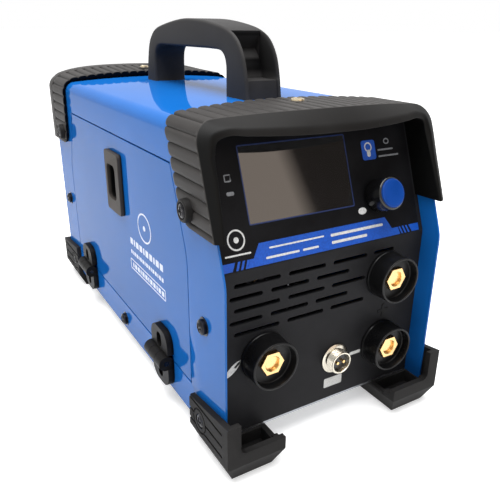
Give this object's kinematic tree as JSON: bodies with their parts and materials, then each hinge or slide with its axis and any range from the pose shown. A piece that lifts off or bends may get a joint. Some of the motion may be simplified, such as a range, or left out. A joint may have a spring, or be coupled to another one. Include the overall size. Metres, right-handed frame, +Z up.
{
  "type": "wire-feed welding power source",
  "caption": "Portable welding power source: blue sheet-metal case with ribbed black hoods, arched carry handle, leaning control panel, round sockets and a hinged spool door.",
  "frame": {"origin": "on the floor, midway between the side walls and midway along the case", "axes": "+X to the right seen from the front, -Y out of the front panel, +Z up"},
  "size_m": [0.1789, 0.371, 0.2555],
  "materials": {
    "zinc_sheet": "galvanised sheet",
    "blue_paint": "semi-gloss powder coat",
    "black_panel": "satin powder coat",
    "black_paint": "satin powder coat",
    "black_plastic": "fine-grained moulding",
    "foot_rubber": "matt moulded rubber",
    "steel": "plain",
    "overlay_film": "printed film",
    "display_glass": "polished, dark",
    "circuit_board": "solder resist",
    "blue_plastic": "smooth",
    "black_gloss": "smooth",
    "brass": "turned",
    "nickel": "nickel plate",
    "black_steel": "black oxide",
    "red_plastic": "smooth",
    "alloy": "extruded",
    "ferrite": "sintered",
    "winding_tape": "polyester tape",
    "copper_winding": "enamelled winding",
    "capacitor_sleeve": "shrink sleeve",
    "dark_alloy": "dark anodised",
    "white_plastic": "smooth",
    "copper_wire": "copper-coated wire"
  },
  "bodies": {
    "machine": {"base_chassis": "zinc_sheet", "outer_cover": "blue_paint", "front_panel": "black_panel", "rear_panel": "black_paint", "front_hood": "black_plastic", "rear_hood": "black_plastic", "handle": "black_plastic", "front_left_foot": "foot_rubber", "front_right_foot": "foot_rubber", "rear_left_foot": "foot_rubber", "rear_right_foot": "foot_rubber", "hinge_body_leaves": "black_plastic", "hinge_pins": "steel", "panel_overlay": "overlay_film", "display_lens": "display_glass", "display_module": "steel", "control_board": "circuit_board", "encoder": "steel", "socket_collars": "black_gloss", "socket_inserts": "brass", "socket_nuts": "black_plastic", "connector_shell": "nickel", "connector_insert": "black_gloss", "connector_pins": "brass", "case_screws": "black_steel", "hood_screws": "black_steel", "hood_top_screws": "brass", "foot_screws": "black_steel", "fan_frame": "black_plastic", "switch_housing": "black_gloss", "cable_gland": "black_plastic", "divider_plate": "zinc_sheet", "power_board": "circuit_board", "heatsink": "alloy", "transformer_core": "ferrite", "transformer_winding": "winding_tape", "output_choke": "copper_winding", "capacitors": "capacitor_sleeve", "feeder_plate": "dark_alloy", "feed_motor": "steel", "tension_spring": "steel", "wire_guides": "brass", "spool_hub": "dark_alloy"},
    "door": {"side_door": "blue_paint", "hinge_door_leaves": "black_plastic", "latch_bezel": "black_plastic"},
    "latch": {"latch_slide": "black_plastic"},
    "shaft": {"encoder_shaft": "steel"},
    "knob": {"knob": "black_plastic", "knob_cap": "blue_plastic"},
    "fan": {"fan_rotor": "black_plastic"},
    "rocker": {"switch_rocker": "red_plastic"},
    "drive_roll": {"drive_roll": "steel"},
    "arm": {"pressure_arm": "red_plastic"},
    "pressure_roll": {"pressure_roll": "steel"},
    "tension_knob": {"tension_knob": "black_plastic"},
    "spool": {"wire_spool": "white_plastic", "wound_wire": "copper_wire"},
    "spool_nut": {"spool_nut": "black_plastic"}
  },
  "joints": [
    {"name": "door_hinge", "type": "hinge", "parent": "machine", "child": "door", "pos_m": [-0.0856, 0, 0.0385], "axis": [0, -1, 0], "range_deg": [0, 100]},
    {"name": "latch_slide", "type": "slide", "parent": "door", "child": "latch", "axis": [0, 0, -1], "range_m": [0, 0.005], "stiffness_N_per_m": 400, "springref_m": -0.004},
    {"name": "knob_turn", "type": "hinge", "parent": "machine", "child": "shaft", "pos_m": [0.0424, -0.15009, 0.1508], "axis": [0, -0.9367, 0.3502], "continuous": true},
    {"name": "knob_press", "type": "slide", "parent": "shaft", "child": "knob", "axis": [0, 0.9367, -0.3502], "range_m": [0, 0.0006], "stiffness_N_per_m": 2500, "springref_m": -0.0006},
    {"name": "fan_spin", "type": "hinge", "parent": "machine", "child": "fan", "pos_m": [0.026, 0.1553, 0.106], "axis": [0, 1, 0], "continuous": true},
    {"name": "power_rocker", "type": "hinge", "parent": "machine", "child": "rocker", "pos_m": [-0.048, 0.166, 0.132], "axis": [-1, 0, 0], "range_deg": [0, 16]},
    {"name": "drive_roll_spin", "type": "hinge", "parent": "machine", "child": "drive_roll", "pos_m": [-0.0274, -0.072, 0.08], "axis": [1, 0, 0], "continuous": true},
    {"name": "pressure_roll_spin", "type": "hinge", "parent": "arm", "child": "pressure_roll", "pos_m": [-0.0274, -0.072, 0.1068], "axis": [1, 0, 0], "continuous": true},
    {"name": "arm_lift", "type": "hinge", "parent": "machine", "child": "arm", "pos_m": [-0.0364, -0.098, 0.1068], "axis": [1, 0, 0], "range_deg": [0, 6], "stiffness_Nm_per_rad": 8, "springref_deg": -1.15, "deforming": ["tension_spring"]},
    {"name": "tension_turn", "type": "hinge", "parent": "machine", "child": "tension_knob", "pos_m": [-0.0364, -0.044, 0.1268], "axis": [0, 0, 1], "range_deg": [-720, 720]},
    {"name": "spool_spin", "type": "hinge", "parent": "machine", "child": "spool", "pos_m": [-0.0402, 0.062, 0.098], "axis": [1, 0, 0], "continuous": true},
    {"name": "spool_nut_turn", "type": "hinge", "parent": "machine", "child": "spool_nut", "pos_m": [-0.0662, 0.062, 0.098], "axis": [1, 0, 0], "range_deg": [-720, 720]}
  ],
  "couplings": [
    {"joint": "pressure_roll_spin", "follows": "drive_roll_spin", "ratio": -1.3636}
  ]
}
